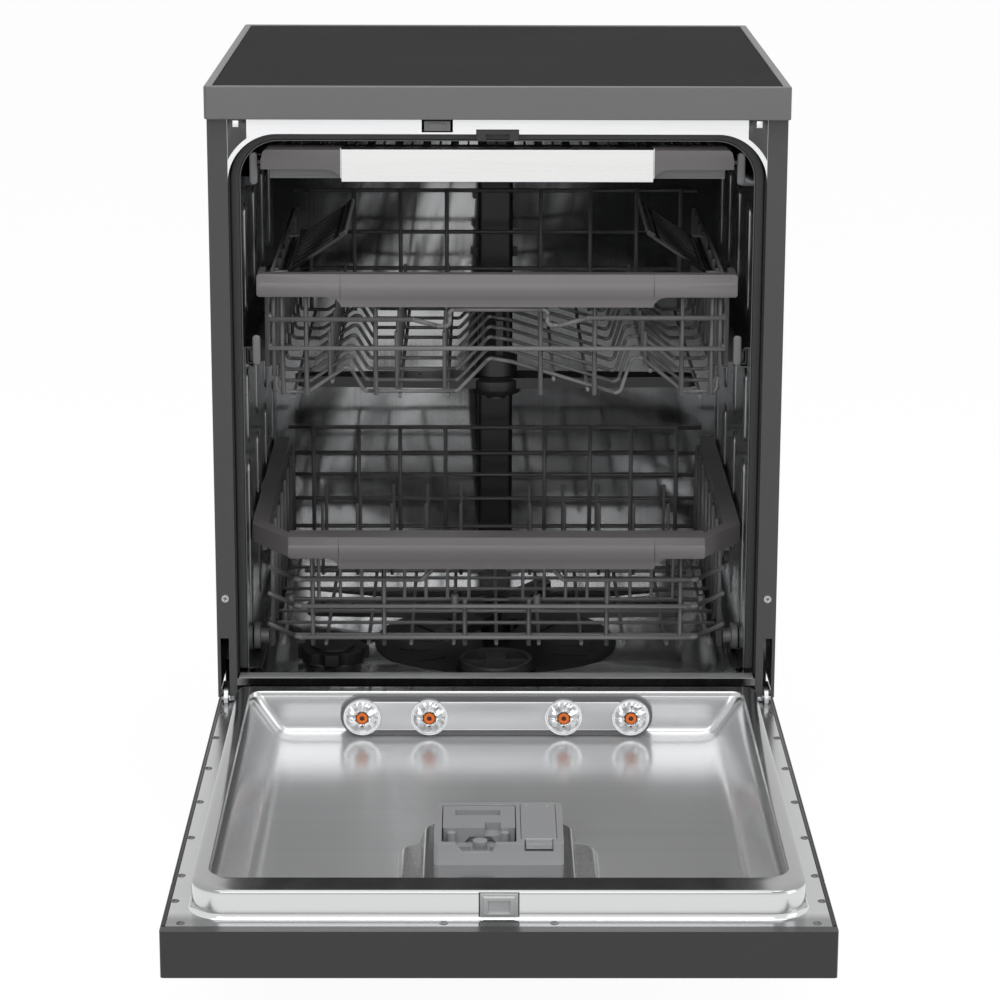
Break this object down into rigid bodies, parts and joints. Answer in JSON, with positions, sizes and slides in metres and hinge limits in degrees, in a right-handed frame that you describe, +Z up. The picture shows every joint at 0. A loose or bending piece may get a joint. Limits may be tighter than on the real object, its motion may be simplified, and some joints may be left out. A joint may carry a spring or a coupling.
{
  "type": "built in dishwasher",
  "caption": "Dishwasher with an open drop-down door, steel tub, cutlery tray, two wire racks, spray arms, filter, dispenser and steam outlets.",
  "frame": {"origin": "centre of the bounding box at floor level, with the door open and the racks in", "axes": "+X to the right when facing the open door, +Y to the rear of the cabinet, +Z up"},
  "size_m": [0.6, 1.175, 0.85],
  "materials": {
    "graphite_paint": "satin",
    "worktop_board": "satin",
    "worktop_band": "satin",
    "stainless": "polished",
    "zinc_plated": "satin",
    "black_plastic": "matte",
    "black_rubber": "matte",
    "grey_plastic": "satin",
    "pump_casing": "satin",
    "clear_plastic": "gloss",
    "coated_wire": "satin",
    "grip_plastic": "satin",
    "satin_aluminium": "satin",
    "chromed_runner": "polished"
  },
  "bodies": {
    "cabinet": {"worktop_frame": "worktop_band", "worktop_panel": "worktop_board", "side_panels": "graphite_paint", "rear_panel": "zinc_plated", "base_tray": "black_plastic", "plinth": "graphite_paint", "top_front_rail": "stainless", "tub_side_walls": "stainless", "tub_roof": "stainless", "tub_back_wall": "stainless", "tub_floor": "stainless", "door_gasket": "black_rubber", "rack_rails": "stainless", "water_duct": "black_plastic", "sump_housing": "black_plastic", "flat_filter": "stainless", "circulation_pump": "pump_casing", "drain_pump": "grey_plastic", "steam_generator": "pump_casing", "water_softener": "clear_plastic", "inlet_valve": "clear_plastic", "hinge_springs": "zinc_plated", "door_latch": "black_plastic"},
    "door": {"door_outer_panel": "graphite_paint", "door_fascia": "graphite_paint", "door_liner": "stainless", "hinge_arms": "zinc_plated", "door_screws": "zinc_plated", "steam_bar": "grey_plastic", "steam_nozzles": "clear_plastic", "strike_plate": "grey_plastic", "dispenser_body": "grey_plastic"},
    "detergent_flap": {"detergent_lid": "grey_plastic"},
    "rinse_aid_flap": {"rinse_aid_lid": "grey_plastic"},
    "button": {"power_button": "grip_plastic"},
    "cutlery_drawer": {"cutlery_tray": "grey_plastic", "cutlery_handle": "satin_aluminium"},
    "upper_rack": {"upper_rack_walls": "coated_wire", "upper_rack_floor": "coated_wire", "upper_rack_handle": "grip_plastic", "spray_feed": "black_plastic"},
    "upper_slides": {"upper_runners": "chromed_runner"},
    "left_shelf": {"left_cup_shelf": "black_plastic"},
    "right_shelf": {"right_cup_shelf": "black_plastic"},
    "middle_arm": {"middle_spray_arm": "black_plastic"},
    "top_arm": {"top_spray_arm": "black_plastic"},
    "lower_arm": {"lower_spray_arm": "black_plastic"},
    "lower_rack": {"lower_rack_walls": "coated_wire", "lower_rack_floor": "coated_wire", "lower_rack_handle": "grip_plastic"},
    "left_fold": {"left_plate_tines": "coated_wire"},
    "right_fold": {"right_plate_tines": "coated_wire"},
    "front_rollers": {"front_wheels": "grey_plastic"},
    "rear_rollers": {"rear_wheels": "grey_plastic"},
    "cup_filter": {"filter_cup": "black_plastic"},
    "salt_lid": {"salt_cap": "black_plastic"},
    "pusher": {"door_pusher": "grey_plastic"},
    "foot_front_left": {"front_left_foot": "black_plastic"},
    "foot_front_right": {"front_right_foot": "black_plastic"},
    "foot_rear": {"rear_foot": "black_plastic"}
  },
  "joints": [
    {"name": "door_hinge", "type": "hinge", "parent": "cabinet", "child": "door", "pos_m": [0, 0.036, 0.1895], "axis": [1, 0, 0], "range_deg": [-90, 0]},
    {"name": "detergent_lid_hinge", "type": "hinge", "parent": "door", "child": "detergent_flap", "pos_m": [-0.018, -0.3283, 0.204], "axis": [-1, 0, 0], "range_deg": [0, 27]},
    {"name": "rinse_aid_lid_hinge", "type": "hinge", "parent": "door", "child": "rinse_aid_flap", "pos_m": [0.0545, -0.3705, 0.2054], "axis": [0, 1, 0], "range_deg": [0, 55]},
    {"name": "power_button_press", "type": "slide", "parent": "door", "child": "button", "axis": [0, 0, 1], "range_m": [0, 0.003], "stiffness_N_per_m": 300},
    {"name": "cutlery_tray_slide", "type": "slide", "parent": "cabinet", "child": "cutlery_drawer", "axis": [0, -1, 0], "range_m": [0, 0.42]},
    {"name": "upper_rack_slide", "type": "slide", "parent": "cabinet", "child": "upper_rack", "axis": [0, -1, 0], "range_m": [0, 0.45]},
    {"name": "upper_runner_slide", "type": "slide", "parent": "cabinet", "child": "upper_slides", "axis": [0, -1, 0], "range_m": [0, 0.225]},
    {"name": "lower_rack_slide", "type": "slide", "parent": "cabinet", "child": "lower_rack", "axis": [0, -1, 0], "range_m": [0, 0.48]},
    {"name": "front_wheel_roll", "type": "hinge", "parent": "lower_rack", "child": "front_rollers", "pos_m": [0, 0.1375, 0.2273], "axis": [1, 0, 0], "range_deg": [0, 1850]},
    {"name": "rear_wheel_roll", "type": "hinge", "parent": "lower_rack", "child": "rear_rollers", "pos_m": [0, 0.4475, 0.2273], "axis": [1, 0, 0], "range_deg": [0, 1850]},
    {"name": "left_tines_fold", "type": "hinge", "parent": "lower_rack", "child": "left_fold", "pos_m": [-0.12, 0.1925, 0.252], "axis": [-1, 0, 0], "range_deg": [0, 85]},
    {"name": "right_tines_fold", "type": "hinge", "parent": "lower_rack", "child": "right_fold", "pos_m": [0.12, 0.1925, 0.252], "axis": [-1, 0, 0], "range_deg": [0, 85]},
    {"name": "left_shelf_hinge", "type": "hinge", "parent": "upper_rack", "child": "left_shelf", "pos_m": [-0.228, 0.2135, 0.637], "axis": [0, -1, 0], "range_deg": [-34, 50]},
    {"name": "right_shelf_hinge", "type": "hinge", "parent": "upper_rack", "child": "right_shelf", "pos_m": [0.228, 0.2135, 0.637], "axis": [0, 1, 0], "range_deg": [-34, 50]},
    {"name": "top_arm_spin", "type": "hinge", "parent": "cabinet", "child": "top_arm", "pos_m": [0, 0.2875, 0.769], "axis": [0, 0, 1], "continuous": true},
    {"name": "middle_arm_spin", "type": "hinge", "parent": "upper_rack", "child": "middle_arm", "pos_m": [0, 0.2875, 0.483], "axis": [0, 0, 1], "continuous": true},
    {"name": "lower_arm_spin", "type": "hinge", "parent": "cabinet", "child": "lower_arm", "pos_m": [0, 0.2875, 0.212], "axis": [0, 0, 1], "continuous": true},
    {"name": "filter_cup_turn", "type": "hinge", "parent": "cabinet", "child": "cup_filter", "pos_m": [0, 0.1595, 0.18], "axis": [0, 0, 1], "range_deg": [0, 90]},
    {"name": "salt_cap_turn", "type": "hinge", "parent": "cabinet", "child": "salt_lid", "pos_m": [-0.182, 0.1825, 0.19], "axis": [0, 0, 1], "range_deg": [0, 90]},
    {"name": "door_pusher_slide", "type": "slide", "parent": "cabinet", "child": "pusher", "axis": [0, -1, 0], "range_m": [0, 0.03]},
    {"name": "front_left_foot_screw", "type": "slide", "parent": "cabinet", "child": "foot_front_left", "axis": [0, 0, -1], "range_m": [0, 0.03]},
    {"name": "front_right_foot_screw", "type": "slide", "parent": "cabinet", "child": "foot_front_right", "axis": [0, 0, -1], "range_m": [0, 0.03]},
    {"name": "rear_foot_screw", "type": "slide", "parent": "cabinet", "child": "foot_rear", "axis": [0, 0, -1], "range_m": [0, 0.03]}
  ],
  "couplings": [
    {"joint": "upper_runner_slide", "follows": "upper_rack_slide", "ratio": 0.5},
    {"joint": "front_wheel_roll", "follows": "lower_rack_slide", "rad_per_m": 66.667},
    {"joint": "rear_wheel_roll", "follows": "lower_rack_slide", "rad_per_m": 66.667}
  ]
}
